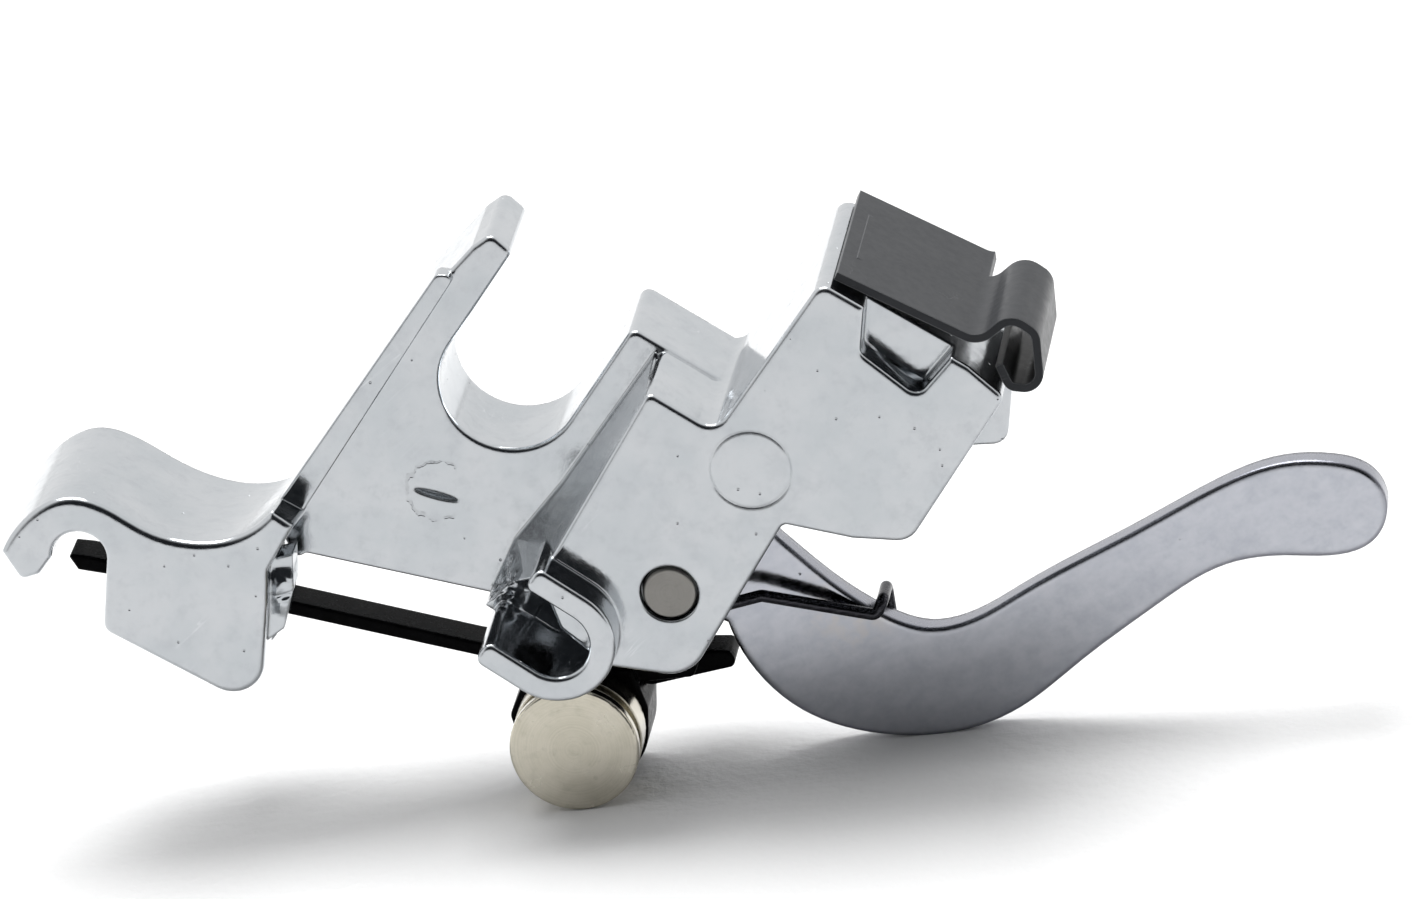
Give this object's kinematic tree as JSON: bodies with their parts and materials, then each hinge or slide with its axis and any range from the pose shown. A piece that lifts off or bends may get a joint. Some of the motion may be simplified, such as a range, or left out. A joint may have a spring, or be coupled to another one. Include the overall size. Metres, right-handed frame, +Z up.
{
  "type": "clip-on presser foot holder",
  "caption": "Clip-on presser foot holder for a sewing machine: cast fork and hook jaw, sprung release lever, swinging latch with roller, and a spring clip for a guide rod",
  "frame": {"origin": "centre of the overall box, at its base, where the part stands on its roller and lever belly", "axes": "X runs from the hook jaw to the lever tail, Y runs away from the side the pin heads are seen on, Z is up"},
  "size_m": [0.058, 0.012, 0.0243],
  "materials": {
    "cast_chrome": "satin plated die casting",
    "lever_chrome": "satin plated pressing",
    "pin_steel": "turned end face",
    "plain_steel": "turned",
    "nickel": "warm satin nickel",
    "black_steel": "black semi-gloss",
    "spring_wire": "oiled black wire",
    "blued_spring_steel": "dark satin spring steel"
  },
  "bodies": {
    "holder": {"shank_body": "cast_chrome", "lever_pivot_pin": "pin_steel", "front_sleeve": "plain_steel", "middle_shim": "plain_steel", "rear_sleeve": "plain_steel", "guide_clip": "blued_spring_steel"},
    "lever": {"release_lever": "lever_chrome", "lever_spring": "spring_wire"},
    "latch": {"latch_arm": "black_steel", "roller_stud": "plain_steel", "stud_ring": "black_steel"},
    "roller": {"roller": "nickel", "roller_washer": "plain_steel"}
  },
  "joints": [
    {"name": "lever_lift", "type": "hinge", "parent": "holder", "child": "lever", "pos_m": [-0.00073, 0, 0.00958], "axis": [0, -1, 0], "range_deg": [0, 6], "stiffness_Nm_per_rad": 0.03, "springref_deg": -22.92},
    {"name": "latch_swing", "type": "hinge", "parent": "holder", "child": "latch", "pos_m": [-0.00073, 0, 0.00958], "axis": [0, -1, 0], "range_deg": [0, 6]},
    {"name": "roller_spin", "type": "hinge", "parent": "latch", "child": "roller", "pos_m": [-0.00594, 0, 0.00277], "axis": [0, -1, 0], "continuous": true}
  ],
  "couplings": [
    {"joint": "latch_swing", "follows": "lever_lift", "ratio": 1}
  ]
}
